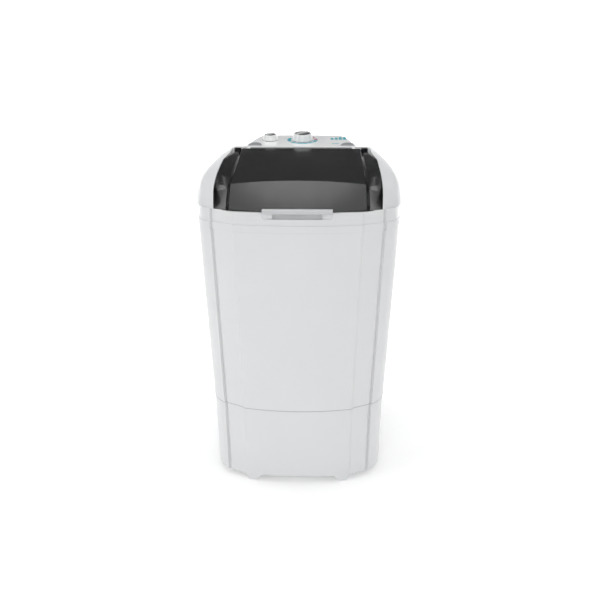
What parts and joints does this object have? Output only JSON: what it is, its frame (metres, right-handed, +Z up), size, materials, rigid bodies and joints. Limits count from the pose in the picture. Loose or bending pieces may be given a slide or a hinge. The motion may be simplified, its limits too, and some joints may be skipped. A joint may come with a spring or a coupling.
{
  "type": "top load washing machine",
  "caption": "Tall tapered white top load wash tub machine with a smoked hinged lid between two arched arms, a rear console with two knobs and a belt driven impeller.",
  "frame": {"origin": "floor level at the centre of the plan outline", "axes": "+Z up, the front with the finger recess faces -Y, +X to the right seen from the front"},
  "size_m": [0.6002, 0.6, 1.0284],
  "materials": {
    "white_shell": "injection moulded, satin gloss",
    "white_tub": "moulded polypropylene",
    "smoked_lid": "smoked clear plastic, polished",
    "white_trim": "polished",
    "dark_cap": "satin",
    "grey_trim": "fine texture",
    "rubber": "moulded",
    "steel": "turned",
    "zinc": "zinc plated",
    "aluminium": "die cast",
    "black_metal": "baked enamel",
    "bronze": "sintered",
    "inner_plastic": "moulded",
    "hose_grey": "flexible",
    "net_white": "fine mesh",
    "can_white": "sleeve"
  },
  "bodies": {
    "machine": {"base_skirt": "white_shell", "cabinet_shell": "white_shell", "top_frame": "white_shell", "console_panel": "white_trim", "console_housing": "white_trim", "hinge_cap_left": "grey_trim", "hinge_cap_right": "grey_trim", "rear_cover": "grey_trim", "hose_hook": "grey_trim", "wash_tub": "white_tub", "timer_unit": "inner_plastic", "selector_switch": "inner_plastic", "drain_fitting": "inner_plastic", "bearing_housing": "inner_plastic", "housing_bolts": "zinc", "motor_bolts": "zinc", "capacitor_strap": "zinc", "cover_screws": "zinc", "motor_bracket": "zinc", "rubber_feet": "rubber", "shaft_seal": "rubber", "drive_belt": "rubber", "motor_grommets": "rubber", "cable_gland": "rubber", "inner_cable": "rubber", "lower_bush": "bronze", "upper_bush": "bronze", "motor_lower_cap": "aluminium", "motor_upper_cap": "aluminium", "motor_stator": "black_metal", "run_capacitor": "can_white", "drain_hose": "hose_grey", "drain_spigot": "hose_grey", "filter_rails": "net_white"},
    "lid": {"lid_panel": "smoked_lid", "lid_handle": "white_trim", "hinge_pin_left": "steel", "hinge_pin_right": "steel"},
    "timer": {"timer_knob": "white_trim", "timer_knob_cap": "dark_cap", "timer_pointer": "white_trim", "timer_spindle": "steel"},
    "selector": {"selector_knob": "white_trim", "selector_knob_cap": "dark_cap", "selector_pointer": "white_trim", "selector_spindle": "steel"},
    "agitator": {"impeller": "white_tub", "impeller_screw": "zinc", "drive_shaft": "steel", "driven_pulley": "aluminium", "pulley_nut": "zinc"},
    "rotor": {"motor_rotor": "steel", "motor_shaft": "steel", "motor_pulley": "aluminium"},
    "filter": {"filter_frame": "net_white", "filter_net": "net_white"}
  },
  "joints": [
    {"name": "lid_hinge", "type": "hinge", "parent": "machine", "child": "lid", "pos_m": [0, 0.1365, 0.978], "axis": [-1, 0, 0], "range_deg": [0, 95]},
    {"name": "timer_turn", "type": "hinge", "parent": "machine", "child": "timer", "pos_m": [0.003, 0.22125, 1.00007], "axis": [0, -0.1564, 0.9877], "range_deg": [0, 300]},
    {"name": "selector_turn", "type": "hinge", "parent": "machine", "child": "selector", "pos_m": [-0.105, 0.22125, 1.00007], "axis": [0, -0.1564, 0.9877], "range_deg": [0, 120]},
    {"name": "impeller_spin", "type": "hinge", "parent": "machine", "child": "agitator", "pos_m": [0, -0.058, 0.34], "axis": [0, 0, 1], "continuous": true},
    {"name": "motor_spin", "type": "hinge", "parent": "machine", "child": "rotor", "pos_m": [0, 0.15, 0.14], "axis": [0, 0, 1], "continuous": true},
    {"name": "filter_lift", "type": "slide", "parent": "machine", "child": "filter", "axis": [0, 0, 1], "range_m": [0, 0.04]}
  ],
  "couplings": [
    {"joint": "motor_spin", "follows": "impeller_spin", "ratio": 4.8}
  ]
}
